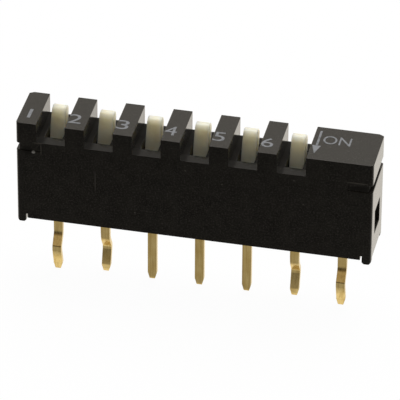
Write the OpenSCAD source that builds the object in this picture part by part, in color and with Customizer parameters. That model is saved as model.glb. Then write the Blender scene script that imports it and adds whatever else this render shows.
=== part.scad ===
// Single-in-line dip switch with six tilting levers and seven pins.
// Origin: centre of the pin row on the plane of the feet. +X runs towards the common pin,
// -Y is the printed arrow's direction (on), +Z is up. Millimetres.

/* [Housing] */
// Pitch of the pins and of the levers
pitch = 2.54; // [2.3:0.01:2.8]
// Distance from the first and the last pin to the ends of a housing that is centred on them
end_margin = 1.79; // [1.6:0.01:2.2]
// Distance by which the pin row lies off the middle of the housing, away from pin 1's end
row_offset = 0.05; // [-0.1:0.01:0.1]
// Depth of the housing, front to rear
body_d = 3.1; // [2.8:0.05:3.6]
// Height from the lower edge of the walls to the top of the teeth
body_h = 5.85; // [5.4:0.05:6.6]
// Height of the feet below the walls
standoff = 0.25; // [0.15:0.01:0.5]
// Thickness of the front and rear walls
wall_t = 0.36; // [0.3:0.01:0.5]
// Thickness of the end walls
end_wall_t = 0.58; // [0.45:0.01:0.7]
// Thickness of the roof under the channels
roof_t = 0.5; // [0.3:0.05:0.6]
// Radius of the upright corners at the front
corner_r = 0.18; // [0.05:0.01:0.3]
// Chamfer of the upright corners at the rear, along the housing
chamfer_l = 0.25; // [0.1:0.01:0.35]
// Chamfer of the upright corners at the rear, across the housing
chamfer_d = 0.14; // [0.1:0.01:0.35]

/* [Channels] */
// Width of each channel
channel_w = 1.52; // [1.3:0.01:1.6]
// Depth of each channel below the tops of the teeth
channel_depth = 1.115; // [0.9:0.005:1.3]
// Gap between the sides of a lever and its opening in the roof
side_clear = 0.085; // [0.05:0.005:0.15]
// Gap between a tilted lever and the end of its opening
sweep_clear = 0.06; // [0.03:0.01:0.12]

/* [Ends] */
// Height of the groove across each end
groove_h = 0.41; // [0.3:0.01:0.6]
// Depth of the groove across each end
groove_in = 0.2; // [0.1:0.01:0.25]
// Distance from the tops of the teeth down to the groove
groove_drop = 1.25; // [1.1:0.01:1.5]
// Length by which each groove runs on along the front, as a shallow recess
recess_l = 1.3; // [1:0.05:1.6]
// Depth of the recess in the front
recess_in = 0.05; // [0.03:0.01:0.1]
// Width of the latch window in each end wall
window_w = 1.4; // [1.1:0.05:1.6]
// Height of the latch window
window_h = 1.4; // [1.2:0.05:1.6]
// Lower edge of the latch window above the walls' lower edge
window_up = 1.15; // [1:0.01:1.3]
// Length of each foot along the housing
foot_l = 0.48; // [0.4:0.01:0.7]
// Depth of each foot across the housing
foot_d = 0.42; // [0.3:0.01:0.6]
// Chamfers under the outer and the inner edge of each foot
foot_chamfer = 0.1; // [0.05:0.01:0.2]
// Width of the slit beside each foot
slit_w = 0.09; // [0.06:0.01:0.15]
// Height of the slit above the walls' lower edge
slit_h = 0.25; // [0.1:0.05:0.6]

/* [Levers] */
// Width of the lever along the housing
lever_w = 0.75; // [0.6:0.01:0.85]
// Thickness of the lever, which its rounded top follows
lever_t = 0.78; // [0.6:0.01:0.85]
// Distance from the axle to the top of the lever
lever_reach = 2.4; // [2.1:0.05:2.6]
// Lean of the lever to either side of upright, degrees
lean = 18; // [12:1:20]
// Distance from the tops of the teeth down to the axle
pivot_drop = 2.35; // [2.25:0.05:2.6]
// Radius of the axle stubs
axle_r = 0.35; // [0.25:0.01:0.4]
// Length of the axle, end to end
axle_l = 1.9; // [1.75:0.05:2.1]
// Radius of the hub between the bearings
hub_r = 0.5; // [0.42:0.01:0.55]
// Radial clearance of the axle in its bearings
bearing_clear = 0.03; // [0.02:0.01:0.06]
// Gap between the hub and the ribs, and past the ends of the axle
end_play = 0.04; // [0.02:0.01:0.08]

/* [Contacts] */
// Width of the lower arm of the lever
arm_w = 0.6; // [0.4:0.01:0.7]
// Thickness of the lower arm, which the spring clip grips
arm_t = 0.44; // [0.4:0.01:0.6]
// Thickness of the spring strip
spring_t = 0.08; // [0.06:0.01:0.14]
// Width of the spring clip
spring_w = 0.84; // [0.7:0.01:1]
// Gap between the two fingers of the spring clip
finger_gap = 0.26; // [0.15:0.01:0.35]
// Distance from the axle to the underside of the spring clip
spring_reach = 2.1; // [2:0.05:2.3]
// Gap between the spring clip and the pads that it passes
contact_clear = 0.03; // [0.02:0.01:0.06]
// Tilt that is left when the spring clip comes over the pads, degrees
pad_lead = 4; // [2:0.5:6]
// Height of the pads above the base
pad_proud = 0.09; // [0.05:0.01:0.12]
// Gap between the pads of the terminals and the common rail
rail_gap = 0.08; // [0.05:0.01:0.15]
// Distance from the rear edge of the base to the common rail
rail_edge = 0.05; // [0.03:0.01:0.1]

/* [Pins] */
// Width of the pins
pin_w = 0.48; // [0.4:0.01:0.65]
// Thickness of the terminal strip
pin_t = 0.25; // [0.18:0.01:0.3]
// Length of the pins below the feet
pin_below = 3.59; // [3.2:0.01:4.2]
// Width of the pins at the very tip
tip_w = 0.29; // [0.25:0.01:0.4]
// Length of the tapered tip
tip_l = 0.35; // [0.2:0.05:0.6]
// Sideways reach of the kinks in the outer pins
kink_out = 0.41; // [0.2:0.01:0.5]
// Distance from the feet down to the start of a kink
kink_start = 1.45; // [1.1:0.05:1.5]
// Length of a kink along the pin
kink_l = 1.75; // [1.5:0.05:2]
// Length of the steeper slope out to the crest of a kink
kink_rise = 0.65; // [0.4:0.05:0.8]
// Length of the flat crest of a kink
kink_crest = 0.2; // [0.1:0.05:0.4]
// Sideways offset that is left below a kink
kink_rest = 0.16; // [0:0.01:0.3]

/* [Base] */
// Height of the base's underside above the walls' lower edge
base_up = 0.18; // [0.1:0.01:0.3]
// Gap between the base and the walls around it
base_fit = 0.02; // [0.01:0.01:0.04]
// Thickness of the right-hand latch post
post_t = 0.5; // [0.4:0.05:0.7]
// Reach of each snap nose into its window
nose_out = 0.4; // [0.25:0.05:0.45]
// Height of a snap nose's locking lip
nose_lip = 0.25; // [0.15:0.05:0.4]
// Gap between a snap nose and the edges of its window
nose_clear = 0.03; // [0.02:0.01:0.06]

/* [Hidden] */
$fn = 64;
positions = 6;
pins = positions + 1;
// Overlap of joined solids, and overrun of cuts past the faces that they open
eps = 0.01;
over = 1;

// Levels above the feet
top_z = standoff + body_h;
floor_z = top_z - channel_depth;
roof_z = floor_z - roof_t;
groove_top = top_z - groove_drop;
groove_low = groove_top - groove_h;
pivot_z = top_z - pivot_drop;
seam_z = pivot_z;
base_z = standoff + base_up;
window_z = standoff + window_up;
window_top = window_z + window_h;

// Lengths along the housing
body_l = positions * pitch + 2 * end_margin;
middle_x = -row_offset;
inner_l = body_l - 2 * end_wall_t;
inner_d = body_d - 2 * wall_t;
base_l = inner_l - 2 * base_fit;
base_d = inner_d - 2 * base_fit;
tooth_w = pitch - channel_w;
first_x = -positions * pitch / 2;
last_rib_x = first_x + (positions - 0.5) * pitch;
well_x = middle_x + inner_l / 2 - roof_t;

// Openings in the roof, long enough for the tilted levers
opening_w = lever_w + 2 * side_clear;
opening_l = 2 * ((floor_z - pivot_z) * tan(lean) + lever_t / 2 / cos(lean) + sweep_clear);
hub_l = channel_w - 2 * end_play;

// Spring clip and the pads under its path
clip_r = arm_t / 2 + spring_t;
clip_reach = spring_reach - clip_r;
pad_angle = lean - pad_lead;
rail_y1 = base_d / 2 - rail_edge;
rail_y0 = rail_y1 - pin_t;
pad_y0 = clip_reach * sin(pad_angle);
pad_y1 = rail_y0 - rail_gap;
pad_top = pivot_z - clip_reach * cos(pad_angle) - (clip_r + contact_clear) / cos(pad_angle);
slab_top = pad_top - pad_proud;
strip_low = slab_top - pin_t;
finger_w = (spring_w - finger_gap) / 2;

function pin_x(i) = first_x + (i - 1) * pitch;
function rib_x(k) = first_x + (k - 0.5) * pitch;
// Side to which a pin is kinked: the two outermost to the front, their neighbours to the rear
function kink_side(i) = (i == 1 || i == pins) ? -1 : (i == 2 || i == pins - 1) ? 1 : 0;

// Plan of the housing: round corners at the front, chamfers at the rear
module housing_plan() {
    x = body_l / 2;
    y = body_d / 2;
    polygon([
        [-x + corner_r, -y],
        [x - corner_r, -y],
        [x, -y + corner_r],
        [x, y - chamfer_d],
        [x - chamfer_l, y],
        [-x + chamfer_l, y],
        [-x, y - chamfer_d],
        [-x, -y + corner_r]
    ]);
    for (s = [-1, 1])
        translate([s * (x - corner_r), -y + corner_r])
            circle(corner_r);
}

// Box between two levels, centred across the housing
module level_box(x0, x1, d, z0, z1) {
    translate([x0, -d / 2, z0])
        cube([x1 - x0, d, z1 - z0]);
}

// Profile drawn as (y, z) and extruded along the housing, centred on x = 0
module along_x(w) {
    translate([-w / 2, 0, 0])
        rotate([90, 0, 90])
            linear_extrude(w)
                children();
}

// Housing and base share a middle, which may lie beside the middle of the pin row
module at_middle() {
    translate([middle_x, 0, 0])
        children();
}

module axle_bores() {
    for (i = [1:positions])
        translate([pin_x(i), 0, pivot_z])
            rotate([0, 90, 0])
                cylinder(r = axle_r + bearing_clear, h = axle_l + 2 * end_play, center = true);
}

// Housing: one moulding, open below
module end_groove() {
    level_box(body_l / 2 - groove_in, body_l / 2 + over, body_d + over, groove_low, groove_top);
    translate([body_l / 2 - recess_l, recess_in - body_d / 2 - over, groove_low])
        cube([recess_l + over, over, groove_h]);
}

module foot_edge() {
    edge = sqrt(2) * foot_chamfer;
    for (x = [body_l / 2, body_l / 2 - foot_l])
        translate([x, 0, 0])
            rotate([0, 45, 0])
                cube([edge, body_d + over, edge], center = true);
}

module housing_outside() {
    difference() {
        linear_extrude(top_z)
            housing_plan();
        for (s = [0, 1])
            mirror([s, 0, 0]) {
                end_groove();
                foot_edge();
            }
    }
}

module bearing_ribs() {
    for (k = [0:positions]) {
        x0 = max(rib_x(k) - tooth_w / 2, middle_x - inner_l / 2 - eps);
        level_box(x0, rib_x(k) + tooth_w / 2, inner_d + eps, seam_z, roof_z + eps);
    }
}

module foot_reliefs() {
    level_box(-body_l / 2 + foot_l, body_l / 2 - foot_l, body_d + over, -over, standoff);
    level_box(-body_l / 2 - over, body_l / 2 + over, body_d - 2 * foot_d, -over, standoff);
    for (s = [-1, 1])
        translate([s * (body_l / 2 - foot_l - slit_w / 2), 0, 0])
            level_box(-slit_w / 2, slit_w / 2, body_d + over, -over, standoff + slit_h);
}

module housing() {
    color([0.13, 0.12, 0.12])
    difference() {
        union() {
            at_middle()
                difference() {
                    housing_outside();
                    level_box(-inner_l / 2, inner_l / 2, inner_d, -over, roof_z);
                    foot_reliefs();
                }
            bearing_ribs();
        }
        for (i = [1:positions]) {
            x = pin_x(i);
            level_box(x - channel_w / 2, x + channel_w / 2, body_d + over, floor_z, top_z + over);
            level_box(x - opening_w / 2, x + opening_w / 2, opening_l, roof_z - eps, floor_z + eps);
        }
        level_box(last_rib_x + tooth_w / 2, well_x, inner_d, roof_z - eps, top_z - roof_t);
        at_middle()
            level_box(-body_l / 2 - over, body_l / 2 + over, window_w, window_z, window_top);
        axle_bores();
    }
}

// Base: insert-moulded round the terminals and snapped in from below
module snap_nose() {
    nose_w = window_w - 2 * nose_clear;
    nose_z = window_z + nose_clear;
    translate([inner_l / 2 - base_fit, nose_w / 2, 0])
        rotate([90, 0, 0])
            linear_extrude(nose_w)
                polygon([
                    [-eps, nose_z],
                    [nose_out, nose_z],
                    [nose_out, nose_z + nose_lip],
                    [base_fit, window_top - nose_clear],
                    [-eps, window_top - nose_clear]
                ]);
}

module base() {
    color([0.1, 0.1, 0.1])
    difference() {
        union() {
            for (k = [0:positions]) {
                x0 = max(rib_x(k) - tooth_w / 2, middle_x - base_l / 2);
                level_box(x0, rib_x(k) + tooth_w / 2, base_d, slab_top - eps, seam_z - base_fit);
            }
            at_middle() {
                level_box(-base_l / 2, base_l / 2, base_d, base_z, slab_top);
                level_box(base_l / 2 - post_t, base_l / 2, base_d, slab_top - eps, window_top);
                snap_nose();
                mirror([1, 0, 0])
                    snap_nose();
            }
        }
        axle_bores();
        common_terminal();
        for (i = [1:positions])
            terminal(i);
    }
}

// Lever at rest, leaning to the rear (off)
module at_lever(i) {
    translate([pin_x(i), 0, pivot_z])
        rotate([-lean, 0, 0])
            children();
}

module round_ended(t, reach) {
    translate([-t / 2, 0])
        square([t, reach - t / 2]);
    translate([0, reach - t / 2])
        circle(t / 2);
}

module lever(i) {
    color([0.86, 0.84, 0.76])
    at_lever(i) {
        along_x(lever_w)
            round_ended(lever_t, lever_reach);
        along_x(arm_w)
            mirror([0, 1])
                round_ended(arm_t, spring_reach - 2 * spring_t);
        rotate([0, 90, 0])
            cylinder(r = hub_r, h = hub_l, center = true);
        rotate([0, 90, 0])
            cylinder(r = axle_r, h = axle_l, center = true);
    }
}

// Sprung clip on the lower arm, split into two fingers over the pads
module contact_spring(i) {
    leg_top = hub_r + spring_t;
    slot_d = 2 * clip_r + over;
    color([0.8, 0.66, 0.36])
    at_lever(i)
        difference() {
            along_x(spring_w)
                mirror([0, 1])
                    difference() {
                        round_ended(2 * clip_r, spring_reach);
                        round_ended(arm_t, spring_reach - spring_t);
                        translate([-slot_d / 2, -over])
                            square([slot_d, leg_top + over]);
                    }
            translate([-finger_gap / 2, -slot_d / 2, -spring_reach - over])
                cube([finger_gap, slot_d, over + clip_r + spring_t]);
        }
}

// Strip of even thickness along a path: corners on one side, mitred between the segments
function heading(path, n) =
    let(step = path[n + 1] - path[n])
    step / norm(step);
function strip_corner(path, n, side) =
    let(
        before = heading(path, max(n - 1, 0)),
        after = heading(path, min(n, len(path) - 2)),
        across = [-before[1] - after[1], before[0] + after[0]]
    )
    path[n] + side * pin_t * across / (across * across);

// Pin with its kink, as a stamped strip bent front to rear
module pin(i) {
    side = kink_side(i);
    crest_z = -kink_start - kink_rise;
    path = side == 0 ? [[0, slab_top], [0, -pin_below]] : [
        [0, slab_top],
        [0, -kink_start],
        [side * kink_out, crest_z],
        [side * kink_out, crest_z - kink_crest],
        [side * kink_rest, -kink_start - kink_l],
        [side * kink_rest, -pin_below]
    ];
    last = len(path) - 1;
    translate([pin_x(i), 0, 0])
        intersection() {
            along_x(pin_w)
                polygon(concat(
                    [for (n = [0:last]) strip_corner(path, n, -1)],
                    [for (n = [last:-1:0]) strip_corner(path, n, 1)]
                ));
            translate([0, body_d / 2, 0])
                rotate([90, 0, 0])
                    linear_extrude(body_d)
                        polygon([
                            [-pin_w / 2, slab_top],
                            [-pin_w / 2, tip_l - pin_below],
                            [-tip_w / 2, -pin_below],
                            [tip_w / 2, -pin_below],
                            [pin_w / 2, tip_l - pin_below],
                            [pin_w / 2, slab_top]
                        ]);
        }
}

// Flat part of a terminal, flush with the base, between two corners in plan
module strip(x0, y0, x1, y1) {
    translate([x0, y0, strip_low])
        cube([x1 - x0, y1 - y0, pin_t]);
}

// Raised pad under one finger of the spring clip
module pad(x0) {
    translate([x0, pad_y0, strip_low])
        cube([finger_w, pad_y1 - pad_y0, pad_top - strip_low]);
}

module terminal(i) {
    pad_x0 = pin_x(i) - spring_w / 2;
    color([0.78, 0.66, 0.38]) {
        pin(i);
        strip(pad_x0, -pin_t / 2, pin_x(i) + pin_w / 2, pin_t / 2);
        strip(pad_x0, -pin_t / 2, pad_x0 + finger_w, pad_y1);
        pad(pad_x0);
    }
}

module common_terminal() {
    pin_7 = pin_x(pins);
    color([0.78, 0.66, 0.38]) {
        pin(pins);
        strip(pin_7 - pin_w / 2, -pin_t / 2, pin_7 + pin_w / 2, rail_y1);
        strip(pin_x(1) + finger_gap / 2, rail_y0, pin_7 + pin_w / 2, rail_y1);
        for (i = [1:positions]) {
            pad_x0 = pin_x(i) + finger_gap / 2;
            strip(pad_x0, pad_y0, pad_x0 + finger_w, rail_y1);
            pad(pad_x0);
        }
    }
}

housing();
base();
common_terminal();
for (i = [1:positions]) {
    lever(i);
    contact_spring(i);
    terminal(i);
}
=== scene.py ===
import math

import bmesh
import bpy
from mathutils import Matrix, Vector


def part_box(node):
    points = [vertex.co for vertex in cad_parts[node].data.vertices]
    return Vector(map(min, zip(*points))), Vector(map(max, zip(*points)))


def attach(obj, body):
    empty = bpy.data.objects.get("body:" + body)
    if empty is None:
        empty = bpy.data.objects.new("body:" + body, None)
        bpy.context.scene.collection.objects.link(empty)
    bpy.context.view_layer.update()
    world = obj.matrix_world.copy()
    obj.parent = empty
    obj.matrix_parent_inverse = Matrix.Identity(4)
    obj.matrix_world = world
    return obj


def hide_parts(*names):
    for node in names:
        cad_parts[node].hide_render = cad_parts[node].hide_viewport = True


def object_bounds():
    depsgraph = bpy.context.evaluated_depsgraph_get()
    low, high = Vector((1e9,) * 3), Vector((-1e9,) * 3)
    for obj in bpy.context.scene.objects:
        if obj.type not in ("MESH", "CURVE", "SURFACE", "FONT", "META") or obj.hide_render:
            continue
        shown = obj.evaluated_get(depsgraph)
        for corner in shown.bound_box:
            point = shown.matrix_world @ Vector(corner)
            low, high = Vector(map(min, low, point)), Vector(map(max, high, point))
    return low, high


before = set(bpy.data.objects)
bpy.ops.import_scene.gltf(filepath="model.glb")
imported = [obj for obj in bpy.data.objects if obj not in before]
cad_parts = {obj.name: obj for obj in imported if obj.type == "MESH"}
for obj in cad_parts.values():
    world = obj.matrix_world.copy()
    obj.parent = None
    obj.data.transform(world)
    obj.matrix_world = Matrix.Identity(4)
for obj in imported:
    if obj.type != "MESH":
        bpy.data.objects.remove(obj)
cadBox = [list(corner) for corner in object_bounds()]
mm = 0.001
tolerance = 0.01  # millimetres
leverCount = 6
plainWhite = (1.0, 1.0, 1.0)
houseLow, houseHigh = [Vector(corner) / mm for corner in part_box("housing")]
print("frame loaded:", len(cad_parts), "nodes")


def makeActive(piece):
    bpy.ops.object.select_all(action="DESELECT")
    piece.select_set(True)
    bpy.context.view_layer.objects.active = piece


def startEditing(piece):
    makeActive(piece)
    bpy.ops.object.mode_set(mode="EDIT")
    return bmesh.from_edit_mesh(piece.data)


def stopEditing():
    bpy.ops.object.mode_set(mode="OBJECT")


def startChoosing(kind):  # edge or face mode, nothing selected yet
    bpy.ops.mesh.select_mode(type=kind)
    bpy.ops.mesh.select_all(action="DESELECT")


def chooseEdges(piece, wanted):  # selects the wanted edges and counts them
    startChoosing("EDGE")
    shape = bmesh.from_edit_mesh(piece.data)
    shape.normal_update()
    count = 0
    for edge in shape.edges:
        if wanted(edge):
            edge.select_set(True)
            count += 1
    bmesh.update_edit_mesh(piece.data)
    return count


solidLook = {"join": 0.001, "flatDegrees": 0.4}


def copyOfNode(nodeName, pieceName):  # the CAD solid's own mesh, merged, at 1 unit to the millimetre
    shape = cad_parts[nodeName].data.copy()
    shape.name = pieceName
    shape.materials.clear()
    shape.transform(Matrix.Scale(1 / mm, 4))
    piece = bpy.data.objects.new(pieceName, shape)
    bpy.context.scene.collection.objects.link(piece)
    startEditing(piece)
    bpy.ops.mesh.select_all(action="SELECT")
    bpy.ops.mesh.remove_doubles(threshold=solidLook["join"])
    bpy.ops.mesh.dissolve_limited(angle_limit=math.radians(solidLook["flatDegrees"]))
    stopEditing()
    bpy.ops.mesh.customdata_custom_splitnormals_clear()
    return piece


def softenEdges(piece, wanted, width, segments):  # bevels edges and remembers their faces as worn
    startEditing(piece)
    count = chooseEdges(piece, wanted)
    if count:
        bpy.ops.mesh.bevel(offset=width, segments=segments, affect="EDGES", clamp_overlap=False)
    stopEditing()
    worn = [polygon.select for polygon in piece.data.polygons] if count else []
    print(piece.name, "edges softened:", count)
    return worn


def markWorn(piece, worn):
    attribute = piece.data.attributes.new("wornEdge", "FLOAT", "FACE")
    for item, isWorn in zip(attribute.data, worn or [False] * len(attribute.data)):
        item.value = 1.0 if isWorn else 0.0


def intoMetres(piece):
    makeActive(piece)
    piece.scale = (mm, mm, mm)
    bpy.ops.object.transform_apply(location=True, rotation=True, scale=True)


def finishShape(piece, smoothDegrees=40):  # smooth bevels, flat faces
    makeActive(piece)
    bpy.ops.object.shade_smooth_by_angle(angle=math.radians(smoothDegrees))
    bpy.ops.object.modifier_add(type="WEIGHTED_NORMAL")
    piece.modifiers[-1].keep_sharp = True
    bpy.ops.object.modifier_apply(modifier=piece.modifiers[-1].name)
    intoMetres(piece)


def sharpEdge(edge, degrees=30):  # an outward edge between two faces
    return edge.is_convex and edge.calc_face_angle(0) > math.radians(degrees)


# Materials

def newMaterial(name):
    material = bpy.data.materials.new(name)
    material.use_nodes = True
    nodes = material.node_tree.nodes
    return material, nodes, material.node_tree.links, nodes["Principled BSDF"]


def millimetres(nodes, links, stretch=(1, 1, 1)):  # object coordinates, one unit to the millimetre
    place = nodes.new("ShaderNodeTexCoord")
    mapping = nodes.new("ShaderNodeMapping")
    mapping.inputs["Scale"].default_value = [part / mm for part in stretch]
    links.new(place.outputs["Object"], mapping.inputs["Vector"])
    return mapping.outputs["Vector"]


def noise(nodes, links, vector, scale, detail=3.0, rough=0.55):
    texture = nodes.new("ShaderNodeTexNoise")
    texture.inputs["Scale"].default_value = scale
    texture.inputs["Detail"].default_value = detail
    texture.inputs["Roughness"].default_value = rough
    links.new(vector, texture.inputs["Vector"])
    return texture.outputs["Fac"]


def ramp(nodes, links, value, stops, colours):  # from one colour to another
    node = nodes.new("ShaderNodeValToRGB")
    for element, position, colour in zip(node.color_ramp.elements, stops, colours):
        element.position = position
        element.color = (*colour, 1)
    links.new(value, node.inputs["Fac"])
    return node.outputs["Color"]


def remap(nodes, links, value, low, high, fromLow=0.3, fromHigh=0.7):
    node = nodes.new("ShaderNodeMapRange")
    node.inputs["From Min"].default_value = fromLow
    node.inputs["From Max"].default_value = fromHigh
    node.inputs["To Min"].default_value = low
    node.inputs["To Max"].default_value = high
    links.new(value, node.inputs["Value"])
    return node.outputs["Result"]


def blendColours(nodes, links, factor, first, second):
    node = nodes.new("ShaderNodeMix")
    node.data_type = "RGBA"
    links.new(factor, node.inputs["Factor"])
    for socket, colour in ((node.inputs[6], first), (node.inputs[7], second)):  # the node's colour sockets
        if isinstance(colour, tuple):
            socket.default_value = (*colour, 1)
        else:
            links.new(colour, socket)
    return node.outputs[2]


def calculate(nodes, links, operation, *values):
    node = nodes.new("ShaderNodeMath")
    node.operation = operation
    for socket, value in zip(node.inputs, values):
        if isinstance(value, (int, float)):
            socket.default_value = value
        else:
            links.new(value, socket)
    return node.outputs["Value"]


def multiply(nodes, links, first, second):
    return calculate(nodes, links, "MULTIPLY", first, second)


def larger(nodes, links, first, second):
    return calculate(nodes, links, "MAXIMUM", first, second)


def bump(nodes, links, shader, height, strength, distance):
    node = nodes.new("ShaderNodeBump")
    node.inputs["Strength"].default_value = strength
    node.inputs["Distance"].default_value = distance * mm
    links.new(height, node.inputs["Height"])
    for side in ("Normal", "Coat Normal"):
        links.new(node.outputs["Normal"], shader.inputs[side])


def wornEdge(nodes):  # the piece's own mark of its softened edges
    attribute = nodes.new("ShaderNodeAttribute")
    attribute.attribute_name = "wornEdge"
    return attribute.outputs["Fac"]


spotLook = {"depth": 0.2, "core": 0.55}


def spots(nodes, links, place, marks):  # soft flecks, lines and patches on the front (scuffs, dust, painted highlights, painted shade): x, z and their half sizes
    total = None
    for x, z, halfX, halfZ in marks:
        centre = (x, houseLow.y, z)
        half = (halfX, spotLook["depth"], halfZ)
        mapping = nodes.new("ShaderNodeMapping")
        mapping.inputs["Scale"].default_value = [1 / part for part in half]
        mapping.inputs["Location"].default_value = [-middle / part for middle, part in zip(centre, half)]
        links.new(place, mapping.inputs["Vector"])
        reach = nodes.new("ShaderNodeVectorMath")
        reach.operation = "LENGTH"
        links.new(mapping.outputs["Vector"], reach.inputs[0])
        mark = remap(nodes, links, reach.outputs["Value"], 1.0, 0.0, spotLook["core"], 1.0)
        total = mark if total is None else larger(nodes, links, total, mark)
    return total


blackPlastic = {
    "dark": (0.0075, 0.0068, 0.0057), "light": (0.0152, 0.0138, 0.0116),
    "cloud": 1.3, "cloudDetail": 6.0, "cloudRough": 0.68, "cloudStops": (0.36, 0.66),
    "grain": 11.0, "grainRough": 0.6,
    "grit": (0.034, 0.0312, 0.027), "gritShare": 0.85, "gritStops": (0.48, 0.72),
    "edge": (0.018, 0.016, 0.013), "wear": 5.0, "wearDetail": 2.0, "wearShare": (0.1, 0.9),
    "scuffAndHighlight": (0.045, 0.041, 0.035), "speck": 3.1, "speckStops": (0.04, 0.09),
    # the scuff colour serves real specks and also the painted highlights along the end recesses
    "sparse": 1.7, "sparseDetail": 1.0, "sparseStops": (0.52, 0.6), "dust": (0.22, 0.212, 0.2),
    "rough": (0.11, 0.2), "shine": 0.5, "tint": (0.052, 0.048, 0.041),
    "coat": 0.5, "coatIor": 1.2, "coatRough": 0.14, "bump": (0.4, 0.007),
}


def blackPlasticMaterial(name, settings, scuffsAndHighlights=(), flecks=(), recessShade=()):
    material, nodes, links, shader = newMaterial(name)
    place = millimetres(nodes, links)
    cloud = noise(nodes, links, place, settings["cloud"], settings["cloudDetail"], settings["cloudRough"])
    colour = ramp(nodes, links, cloud, settings["cloudStops"], (settings["dark"], settings["light"]))
    grain = noise(nodes, links, place, settings["grain"], rough=settings["grainRough"])
    gritty = remap(nodes, links, grain, 0.0, settings["gritShare"], *settings["gritStops"])
    colour = blendColours(nodes, links, gritty, colour, settings["grit"])
    patch = noise(nodes, links, place, settings["wear"], settings["wearDetail"])
    worn = multiply(nodes, links, wornEdge(nodes), remap(nodes, links, patch, *settings["wearShare"]))
    colour = blendColours(nodes, links, worn, colour, settings["edge"])
    cells = nodes.new("ShaderNodeTexVoronoi")
    cells.inputs["Scale"].default_value = settings["speck"]
    links.new(place, cells.inputs["Vector"])
    speck = remap(nodes, links, cells.outputs["Distance"], 1.0, 0.0, *settings["speckStops"])
    thin = noise(nodes, links, place, settings["sparse"], settings["sparseDetail"])
    sparse = remap(nodes, links, thin, 0.0, 1.0, *settings["sparseStops"])
    colour = blendColours(nodes, links, multiply(nodes, links, speck, sparse), colour, settings["scuffAndHighlight"])
    # scuffs, dust flecks, painted highlights along the end recesses and painted shade inside them
    for marks, finish in ((recessShade, "dark"), (scuffsAndHighlights, "scuffAndHighlight"), (flecks, "dust")):
        if marks:
            colour = blendColours(nodes, links, spots(nodes, links, place, marks), colour, settings[finish])
    links.new(colour, shader.inputs["Base Color"])
    links.new(remap(nodes, links, grain, *settings["rough"]), shader.inputs["Roughness"])
    shader.inputs["Specular IOR Level"].default_value = settings["shine"]
    shader.inputs["Specular Tint"].default_value = (*settings["tint"], 1)
    shader.inputs["Coat Weight"].default_value = settings["coat"]
    shader.inputs["Coat IOR"].default_value = settings["coatIor"]
    shader.inputs["Coat Roughness"].default_value = settings["coatRough"]
    bump(nodes, links, shader, grain, *settings["bump"])
    return material


ivory = {
    "pale": (0.76, 0.705, 0.53), "deep": (0.67, 0.6, 0.42), "cloud": 1.1, "cloudStops": (0.3, 0.55),
    "grain": 22.0, "grainDetail": 2.0, "rough": (0.3, 0.42), "bump": (0.12, 0.004),
    "glow": 1.0, "glowRadius": (1.0, 0.88, 0.7), "glowScale": 1.9,
}


def ivoryMaterial(name, settings):
    material, nodes, links, shader = newMaterial(name)
    place = millimetres(nodes, links)
    cloud = noise(nodes, links, place, settings["cloud"])
    colour = ramp(nodes, links, cloud, settings["cloudStops"], (settings["deep"], settings["pale"]))
    links.new(colour, shader.inputs["Base Color"])
    grain = noise(nodes, links, place, settings["grain"], settings["grainDetail"])
    links.new(remap(nodes, links, grain, *settings["rough"]), shader.inputs["Roughness"])
    shader.inputs["Subsurface Weight"].default_value = settings["glow"]
    shader.inputs["Subsurface Radius"].default_value = settings["glowRadius"]
    shader.inputs["Subsurface Scale"].default_value = settings["glowScale"] * mm
    bump(nodes, links, shader, grain, *settings["bump"])
    return material


gold = {
    "bright": (0.83, 0.65, 0.29), "dull": (0.73, 0.545, 0.21),
    "cloud": 1.6, "cloudDetail": 4.0, "cloudStops": (0.32, 0.6),
    "tarnish": (0.44, 0.30, 0.10), "tarnishShare": 0.5, "tarnishStops": (0.34, 0.56),
    "rough": (0.13, 0.25), "lines": (10.0, 10.0, 0.55), "bump": (0.2, 0.004),
}


def goldMaterial(name, settings):
    material, nodes, links, shader = newMaterial(name)
    place = millimetres(nodes, links)
    cloud = noise(nodes, links, place, settings["cloud"], settings["cloudDetail"])
    colour = ramp(nodes, links, cloud, settings["cloudStops"], (settings["dull"], settings["bright"]))
    drawn = noise(nodes, links, millimetres(nodes, links, settings["lines"]), 1.0)  # streaks along the strip
    stained = remap(nodes, links, drawn, settings["tarnishShare"], 0.0, *settings["tarnishStops"])
    colour = blendColours(nodes, links, stained, colour, settings["tarnish"])
    links.new(colour, shader.inputs["Base Color"])
    shader.inputs["Metallic"].default_value = 1.0
    links.new(remap(nodes, links, drawn, *settings["rough"]), shader.inputs["Roughness"])
    bump(nodes, links, shader, drawn, *settings["bump"])
    return material


ink = {
    "white": (0.2, 0.206, 0.218), "thin": (0.095, 0.098, 0.103), "shine": 0.2, "rough": (0.75, 0.5),
    "wear": 7.0, "wearDetail": 4.0, "wearRough": 0.65, "wearStops": (0.3, 0.52), "bump": (0.2, 0.003),
}


def inkMaterial(name, settings):
    material, nodes, links, shader = newMaterial(name)
    place = millimetres(nodes, links)
    wear = noise(nodes, links, place, settings["wear"], settings["wearDetail"], settings["wearRough"])
    colour = ramp(nodes, links, wear, settings["wearStops"], (settings["thin"], settings["white"]))
    links.new(colour, shader.inputs["Base Color"])
    links.new(remap(nodes, links, wear, *settings["rough"]), shader.inputs["Roughness"])
    shader.inputs["Specular IOR Level"].default_value = settings["shine"]
    bump(nodes, links, shader, wear, *settings["bump"])
    return material


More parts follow.
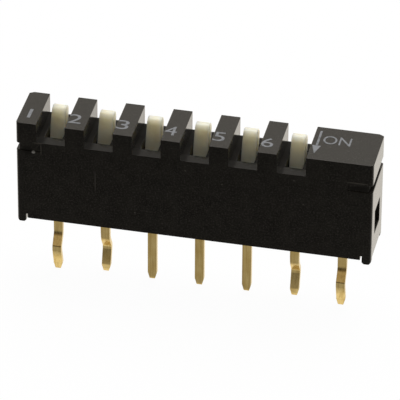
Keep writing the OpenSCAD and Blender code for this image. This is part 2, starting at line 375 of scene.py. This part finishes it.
frontMarks = {  # each an x and a z on the front, then half its width and height, in millimetres
    "scuffsAndHighlights": (
        (-8.31, 4.97, 0.3, 0.05), (-8.13, 4.6, 0.045, 0.42),  # painted highlights along the top and right edges of the moulding gate's recess
        # first a painted highlight along the top edge of the right-hand recess, then scuffs
        (8.55, 4.955, 0.7, 0.05), (-5.25, 3.05, 0.03, 0.8),
        (-3.14, 1.42, 0.06, 0.06), (-0.47, 4.42, 0.06, 0.06), (1.47, 3.85, 0.07, 0.05),
        (5.24, 4.65, 0.06, 0.06), (5.75, 3.25, 0.05, 0.06),
    ),
    "flecks": ((-8.53, 4.39, 0.11, 0.1),),
    # darker patches in the recesses at both ends: painted shade
    "recessShade": ((-8.84, 4.47, 0.35, 0.33), (8.64, 4.61, 0.7, 0.2)),
}
# darker copies of the black plastic for the ledges and the channel floors: painted shade in the channels,
# with gloss and roughness of their own
ledgeBlackShaded = {
    **blackPlastic, "dark": (0.003, 0.0027, 0.0023), "light": (0.007, 0.0063, 0.0054),
    "grit": (0.012, 0.011, 0.0096), "rough": (0.1, 0.16), "shine": 0.25, "tint": (0.028, 0.026, 0.022),
    "coat": 0.12, "coatRough": 0.12,
}
channelBlackShaded = {
    **blackPlastic, "dark": (0.005, 0.0045, 0.0036), "light": (0.011, 0.0098, 0.008),
    "grit": (0.017, 0.0155, 0.0135), "rough": (0.5, 0.62), "shine": 0.12, "coat": 0.0,
}
housingMaterial = blackPlasticMaterial("glossBlackMoulding", blackPlastic, **frontMarks)
ledgeShadedMaterial = blackPlasticMaterial("satinBlackShadedMoulding", ledgeBlackShaded)
channelShadedMaterial = blackPlasticMaterial("dullBlackShadedMoulding", channelBlackShaded)
baseMaterial = blackPlasticMaterial("blackBaseMoulding", {**blackPlastic, "cloud": 1.7})
leverMaterial = ivoryMaterial("ivoryMoulding", ivory)
pinMaterial = goldMaterial("goldPlatedStrip", gold)
springMaterial = goldMaterial("goldPlatedSpring", {**gold, "bright": (0.78, 0.62, 0.32)})
printMaterial = inkMaterial("padPrintedInk", ink)
print("materials made")

# Housing

housingLook = {
    "edge": 0.035, "segments": 3, "shell": 0.06, "endShell": 0.26,
    "slitStart": 0.46, "slitEnd": 0.6, "slitTop": 0.52,
    "cornerFront": 0.03, "cornerRear": 0.12, "cornerHeight": 0.3,
    "channelDepth": 1.115, "openingHalf": 1.2, "level": 0.9, "floorNear": 0.02,
}
channelFloor = houseHigh.z - housingLook["channelDepth"]


def outsideHousing(vertex):
    return (vertex.co.z > channelFloor - tolerance or abs(vertex.co.y) > houseHigh.y - housingLook["shell"]
            or abs(vertex.co.x) > houseHigh.x - housingLook["endShell"])


def besideFoot(vertex):  # the narrow slits keep their corners
    inward = min(vertex.co.x - houseLow.x, houseHigh.x - vertex.co.x)
    return vertex.co.z < housingLook["slitTop"] and housingLook["slitStart"] < inward < housingLook["slitEnd"]


def grooveCorner(edge):  # the upright corners inside the grooves stay crisp
    first, second = [v.co for v in edge.verts]
    inFront = max(first.y, second.y) < housingLook["cornerRear"] - houseHigh.y
    inside = min(first.y, second.y) > housingLook["cornerFront"] - houseHigh.y
    upright = abs(first.z - second.z) > housingLook["cornerHeight"]
    return inFront and inside and upright and max(first.z, second.z) < channelFloor


def housingEdge(edge):
    outside = all(outsideHousing(v) for v in edge.verts)
    inSlit = all(besideFoot(v) for v in edge.verts)
    return sharpEdge(edge) and outside and not inSlit and not grooveCorner(edge)


def onChannelFloor(normal, height):
    return normal.z > housingLook["level"] and abs(height - channelFloor) < housingLook["floorNear"]


housing = copyOfNode("housing", "housingMoulding")
markWorn(housing, softenEdges(housing, housingEdge, housingLook["edge"], housingLook["segments"]))
floorYs = [v.co.y for v in housing.data.vertices if abs(v.co.z - channelFloor) < tolerance]
ledgeRear = min(y for y in floorYs if abs(y) < housingLook["openingHalf"]) - tolerance
shape = startEditing(housing)  # the ledge before each lever is parted from the floor behind it
startChoosing("FACE")
for face in shape.faces:
    face.select_set(onChannelFloor(face.normal, face.calc_center_median().z))
bmesh.update_edit_mesh(housing.data)
bpy.ops.mesh.bisect(plane_co=(0, ledgeRear, 0), plane_no=(0, 1, 0))
stopEditing()
finishShape(housing)
for material in (housingMaterial, ledgeShadedMaterial, channelShadedMaterial):
    housing.data.materials.append(material)
for polygon in housing.data.polygons:  # ledges and floors of the channels have finishes of their own, with darker colours that paint shade into the channels
    if onChannelFloor(polygon.normal, polygon.center.z / mm):
        polygon.material_index = 1 if polygon.center.y / mm < ledgeRear else 2
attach(housing, "body")
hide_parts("housing")

# Base, in the dark under the housing

baseLook = {"edge": 0.03, "segments": 2}
baseLow = [Vector(corner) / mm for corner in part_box("base")][0]


def baseEdge(edge):
    return sharpEdge(edge) and all(v.co.z < baseLow.z + tolerance for v in edge.verts)


base = copyOfNode("base", "baseMoulding")
markWorn(base, softenEdges(base, baseEdge, baseLook["edge"], baseLook["segments"]))
finishShape(base)
base.data.materials.append(baseMaterial)
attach(base, "body")
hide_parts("base")
print("housing and base done")

# Levers: one is shaped, the others are copies of it

leverLook = {"edge": 0.045, "segments": 3, "half": 0.375, "hubTop": 4.3}
firstLow, firstHigh = [Vector(corner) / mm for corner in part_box("lever_1")]
firstX = (firstLow.x + firstHigh.x) / 2


def onPaddleSide(vertex):
    aside = abs(vertex.co.x - firstX)
    return abs(aside - leverLook["half"]) < tolerance and vertex.co.z > leverLook["hubTop"]


def paddleEdge(edge):
    return sharpEdge(edge) and all(onPaddleSide(v) for v in edge.verts)


lever = copyOfNode("lever_1", "lever1")
softenEdges(lever, paddleEdge, leverLook["edge"], leverLook["segments"])
finishShape(lever)
lever.data.materials.append(leverMaterial)
levers = [lever]
for number in range(2, leverCount + 1):
    nextLow, nextHigh = [Vector(corner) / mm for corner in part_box(f"lever_{number}")]
    twin = bpy.data.objects.new(f"lever{number}", lever.data.copy())
    bpy.context.scene.collection.objects.link(twin)
    twin.location.x = ((nextLow.x + nextHigh.x) / 2 - firstX) * mm
    makeActive(twin)
    bpy.ops.object.transform_apply(location=True, rotation=False, scale=False)
    levers.append(twin)
for number, piece in enumerate(levers, 1):
    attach(piece, f"lever_{number}")
    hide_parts(f"lever_{number}")
    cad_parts[f"contact_spring_{number}"].data.materials.clear()
    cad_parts[f"contact_spring_{number}"].data.materials.append(springMaterial)
print("levers done")

# Terminals, stamped from strip: rolled bends, broken edges

pinLook = {
    "bends": ((-1.75, -1.0, 0.22), (-2.6, -1.75, 0.07), (-3.5, -2.6, 0.05)),  # lowest, highest, width
    "bendSegments": 3, "bendLength": 0.3, "bendLeast": 8, "bendMost": 60,
    "edge": 0.022, "edgeSegments": 2, "edgeDegrees": 25, "edgeTop": 0.4, "sideways": 0.7,
    "join": 0.001, "smoothDegrees": 30,
}


def bendEdge(edge, lowest, highest):
    across = abs(edge.verts[0].co.x - edge.verts[1].co.x) > pinLook["bendLength"]
    within = all(lowest < v.co.z < highest for v in edge.verts)
    degrees = math.degrees(edge.calc_face_angle(0))
    return across and within and pinLook["bendLeast"] < degrees < pinLook["bendMost"]


def pinEdge(edge):  # the long corners below the base, and the tip
    low = all(v.co.z < baseLow.z + pinLook["edgeTop"] for v in edge.verts)
    sides = [abs(face.normal.x) > pinLook["sideways"] for face in edge.link_faces]
    tip = all(v.co.z < cadBox[0][2] / mm + tolerance for v in edge.verts)
    return sharpEdge(edge, pinLook["edgeDegrees"]) and low and (sides[0] != sides[1] or tip)


for nodeName in [f"terminal_{number}" for number in range(1, leverCount + 1)] + ["common_terminal"]:
    pin = copyOfNode(nodeName, nodeName.replace("_", "") + "Strip")
    for lowest, highest, width in pinLook["bends"]:
        softenEdges(pin, lambda edge: bendEdge(edge, lowest, highest), width, pinLook["bendSegments"])
    softenEdges(pin, pinEdge, pinLook["edge"], pinLook["edgeSegments"])
    startEditing(pin)
    bpy.ops.mesh.select_all(action="SELECT")
    bpy.ops.mesh.remove_doubles(threshold=pinLook["join"])
    bpy.ops.mesh.dissolve_degenerate(threshold=pinLook["join"])
    stopEditing()
    finishShape(pin, pinLook["smoothDegrees"])
    pin.data.materials.append(pinMaterial)
    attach(pin, "body")
    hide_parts(nodeName)
print("terminals done")

# Print on the tops of the teeth

printLook = {
    "pitch": 2.54, "firstDigitX": -8.93, "digitShift": -0.17, "digitY": -0.54, "digitHeight": 0.84,
    "digitWidth": 0.62, "oneWidth": 0.17, "twoWidth": 0.7, "curveSteps": 6, "thick": 0.006, "proud": 0.4,
    "wordX": 7.1, "wordY": 0.4, "wordHeight": 0.76, "wordWidth": 1.45,
    "arrowX": 6.14, "arrowRear": 1.17, "arrowNeck": -0.24, "arrowTip": -0.99, "arrowShaft": 0.115,
    "arrowHead": 0.45, "arrowShoulder": 0.002,
}


def printedWord(text, pieceName, centreX, centreY, width, height):
    bpy.ops.object.select_all(action="DESELECT")
    bpy.ops.object.text_add()
    word = bpy.context.object
    word.data.body = text
    word.data.resolution_u = printLook["curveSteps"]
    bpy.ops.object.convert(target="MESH")
    word.name = pieceName
    xs = [v.co.x for v in word.data.vertices]
    ys = [v.co.y for v in word.data.vertices]
    word.data.transform(Matrix.Translation((-(min(xs) + max(xs)) / 2, -(min(ys) + max(ys)) / 2, 0)))
    word.data.transform(Matrix.Diagonal((width / (max(xs) - min(xs)), height / (max(ys) - min(ys)), 1, 1)))
    word.data.transform(Matrix.Translation((centreX, centreY, houseHigh.z)))
    return word


def finishPrint(piece):  # a film of ink on the plastic
    makeActive(piece)
    bpy.ops.object.modifier_add(type="SOLIDIFY")
    piece.modifiers[-1].thickness = printLook["thick"]
    piece.modifiers[-1].offset = printLook["proud"]
    bpy.ops.object.modifier_apply(modifier=piece.modifiers[-1].name)
    intoMetres(piece)
    piece.data.materials.clear()
    piece.data.materials.append(printMaterial)
    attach(piece, "body")


digitWidths = {1: printLook["oneWidth"], 2: printLook["twoWidth"]}
for number in range(1, leverCount + 1):
    toothX = firstX - printLook["pitch"] / 2 + printLook["pitch"] * (number - 1)
    digitX = printLook["firstDigitX"] if number == 1 else toothX + printLook["digitShift"]
    width = digitWidths.get(number, printLook["digitWidth"])
    finishPrint(printedWord(str(number), f"digit{number}", digitX, printLook["digitY"], width,
                            printLook["digitHeight"]))
finishPrint(printedWord("ON", "wordOn", printLook["wordX"], printLook["wordY"], printLook["wordWidth"],
                        printLook["wordHeight"]))

bpy.ops.object.select_all(action="DESELECT")
bpy.ops.mesh.primitive_plane_add(size=1)
arrow = bpy.context.object
arrow.name = "arrowPrint"
shape = startEditing(arrow)
for vertex in shape.verts:  # shaft
    vertex.co.x = printLook["arrowX"] + math.copysign(printLook["arrowShaft"] / 2, vertex.co.x)
    vertex.co.y = printLook["arrowRear"] if vertex.co.y > 0 else printLook["arrowNeck"]
    vertex.co.z = houseHigh.z
bmesh.update_edit_mesh(arrow.data)
chooseEdges(arrow, lambda edge: all(v.co.y < 0 for v in edge.verts))
bpy.ops.mesh.extrude_edges_move(TRANSFORM_OT_translate={"value": (0, -printLook["arrowShoulder"], 0)})
widen = printLook["arrowHead"] / printLook["arrowShaft"]
bpy.ops.transform.resize(value=(widen, 1, 1), center_override=(printLook["arrowX"], 0, 0))
headLength = printLook["arrowNeck"] - printLook["arrowTip"]
bpy.ops.mesh.extrude_edges_move(TRANSFORM_OT_translate={"value": (0, -headLength, 0)})
bpy.ops.mesh.merge(type="CENTER")
bpy.ops.mesh.select_all(action="SELECT")
bpy.ops.mesh.normals_make_consistent(inside=False)
stopEditing()
finishPrint(arrow)
print("print done")

# Floor

stageLook = {  # places in metres
    "floorHalf": 0.6, "floorDrop": 0.00001, "floorColour": (0.86, 0.86, 0.85), "floorRough": 0.9,
    "whiteShare": 0.97, "warm": (1.0, 0.945, 0.85), "dimFloor": 0.4, "behindY": (-0.0011, -0.0007),
    "endX": (0.0038, 0.0064), "underY": (-0.0003, -0.0001), "farShare": 0.12, "farY": (-0.025, -0.005),
}


def seenDirectly(nodes, links, share):  # how much camera, glossy and clear rays see of the plain glow
    path = nodes.new("ShaderNodeLightPath")
    byCamera = path.outputs["Is Camera Ray"]
    byMirror = larger(nodes, links, path.outputs["Is Glossy Ray"], path.outputs["Is Transmission Ray"])
    return multiply(nodes, links, larger(nodes, links, byCamera, byMirror), share), byCamera


def mixShaders(nodes, links, factor, first, second, output):
    mixing = nodes.new("ShaderNodeMixShader")
    links.new(factor, mixing.inputs["Fac"])
    links.new(first, mixing.inputs[1])
    links.new(second, mixing.inputs[2])
    links.new(mixing.outputs["Shader"], nodes[output].inputs["Surface"])


bpy.ops.object.select_all(action="DESELECT")
floorZ = cadBox[0][2] - stageLook["floorDrop"]
bpy.ops.mesh.primitive_plane_add(size=2 * stageLook["floorHalf"], location=(0, 0, floorZ))
floor = bpy.context.object
floor.name = "floor"
bpy.ops.object.transform_apply(location=True)
floorMaterial, nodes, links, shader = newMaterial("paleFloor")
shader.inputs["Base Color"].default_value = (*stageLook["floorColour"], 1)
shader.inputs["Roughness"].default_value = stageLook["floorRough"]
shader.inputs["Specular IOR Level"].default_value = 0.0
place = nodes.new("ShaderNodeTexCoord")
split = nodes.new("ShaderNodeSeparateXYZ")
links.new(place.outputs["Object"], split.inputs["Vector"])
aside = calculate(nodes, links, "ABSOLUTE", split.outputs["X"])
ends = remap(nodes, links, aside, 0.0, 1.0, *stageLook["endX"])
behind = remap(nodes, links, split.outputs["Y"], 0.0, 1.0, *stageLook["behindY"])
under = remap(nodes, links, split.outputs["Y"], 0.0, 1.0, *stageLook["underY"])
lit = larger(nodes, links, under, multiply(nodes, links, behind, ends))  # bright at the ends and behind
mirrored = remap(nodes, links, lit, stageLook["dimFloor"], 1.0, 0.0, 1.0)
further = remap(nodes, links, split.outputs["Y"], stageLook["farShare"], 1.0, *stageLook["farY"])
mirrored = multiply(nodes, links, mirrored, further)  # reflections dim towards the room in front
direct, byCamera = seenDirectly(nodes, links, stageLook["whiteShare"])
glow = nodes.new("ShaderNodeEmission")
links.new(larger(nodes, links, byCamera, mirrored), glow.inputs["Strength"])
links.new(blendColours(nodes, links, byCamera, stageLook["warm"], plainWhite), glow.inputs["Color"])
mixShaders(nodes, links, direct, shader.outputs["BSDF"], glow.outputs["Emission"], "Material Output")
floor.data.materials.append(floorMaterial)

# Light: a pale room, brighter above and behind, with one soft lamp

lightLook = {
    "lean": (0, 0.6, 0.8), "leanLevels": (0.05, 0.9), "leanStops": (0.2, 1.0),
    "frontTone": (1.0, 0.88, 0.72), "toneStops": (0.2, 0.8),
    "card": (0, 0.84, 0.54), "cardStops": (0.42, 0.85),
    "room": (1.0, 0.78, 0.52), "roomLevels": (0.1, 0.5), "roomStops": (0.1, 0.5),
    "topWatts": 2.0, "topSize": 0.4, "topPlace": (0.05, 0.18, 0.42), "topAim": (0, 0, 0.003),
}


def towards(nodes, links, direction, axis):
    node = nodes.new("ShaderNodeVectorMath")
    node.operation = "DOT_PRODUCT"
    node.inputs[1].default_value = axis
    links.new(direction, node.inputs[0])
    return node.outputs["Value"]


world = bpy.data.worlds.new("softStudio")
bpy.context.scene.world = world
world.use_nodes = True
nodes, links = world.node_tree.nodes, world.node_tree.links
direction = nodes.new("ShaderNodeTexCoord").outputs["Generated"]
lean = towards(nodes, links, direction, lightLook["lean"])
level = remap(nodes, links, lean, *lightLook["leanLevels"], *lightLook["leanStops"])
share = remap(nodes, links, lean, 0.0, 1.0, *lightLook["toneStops"])
soft = nodes["Background"]
links.new(level, soft.inputs["Strength"])
links.new(blendColours(nodes, links, share, lightLook["frontTone"], plainWhite), soft.inputs["Color"])
split = nodes.new("ShaderNodeSeparateXYZ")
links.new(direction, split.inputs["Vector"])
room = remap(nodes, links, split.outputs["Z"], *lightLook["roomLevels"], *lightLook["roomStops"])
card = towards(nodes, links, direction, lightLook["card"])  # mirrors see a white card behind, in a dim room
mirrored = larger(nodes, links, room, remap(nodes, links, card, 0.0, 1.0, *lightLook["cardStops"]))
tone = blendColours(nodes, links, mirrored, lightLook["room"], stageLook["warm"])
direct, byCamera = seenDirectly(nodes, links, 1.0)
white = nodes.new("ShaderNodeBackground")
links.new(larger(nodes, links, byCamera, mirrored), white.inputs["Strength"])
links.new(blendColours(nodes, links, byCamera, tone, plainWhite), white.inputs["Color"])
mixShaders(nodes, links, direct, soft.outputs["Background"], white.outputs["Background"], "World Output")

bpy.ops.object.light_add(type="AREA", location=lightLook["topPlace"])
lamp = bpy.context.object
lamp.name = "topSoftbox"
lamp.data.energy = lightLook["topWatts"]
lamp.data.size = lightLook["topSize"]
lampAxis = Vector(lightLook["topPlace"]) - Vector(lightLook["topAim"])
lamp.rotation_euler = lampAxis.to_track_quat("Z", "Y").to_euler()
print("stage done")

# Camera, in millimetres until it is placed

cameraLook = {
    "azimuth": 12.156, "elevation": 33.287, "roll": 0.398, "distance": 232.82, "target": (0, 0, 3.25),
    "focalPixels": 4483.7, "imagePixels": 400, "centreOffset": (-0.40, 25.25), "sensor": 36.0,
    "clipStart": 0.01,  # metres
}
turn, rise, roll = [math.radians(cameraLook[k]) for k in ("azimuth", "elevation", "roll")]
right = Vector((math.cos(turn), math.sin(turn), 0))
back = Vector((math.sin(turn) * math.cos(rise), -math.cos(turn) * math.cos(rise), math.sin(rise)))
up = back.cross(right)
right, up = right * math.cos(roll) + up * math.sin(roll), up * math.cos(roll) - right * math.sin(roll)
place = Vector(cameraLook["target"]) + back * cameraLook["distance"]
offsetX, offsetY = [part / cameraLook["focalPixels"] for part in cameraLook["centreOffset"]]
forward = (-back + right * offsetX - up * offsetY).normalized()  # the picture's centre lies below the target
right = (right - forward * right.dot(forward)).normalized()
up = right.cross(forward)
bpy.ops.object.camera_add()
camera = bpy.context.object
camera.matrix_world = Matrix((
    (right.x, up.x, -forward.x, place.x * mm),
    (right.y, up.y, -forward.y, place.y * mm),
    (right.z, up.z, -forward.z, place.z * mm),
    (0, 0, 0, 1),
))
camera.data.sensor_width = cameraLook["sensor"]
camera.data.lens = cameraLook["focalPixels"] / cameraLook["imagePixels"] * cameraLook["sensor"]
camera.data.clip_start = cameraLook["clipStart"]
bpy.context.scene.camera = camera
bpy.context.scene.view_settings.view_transform = "Standard"
print("camera set")
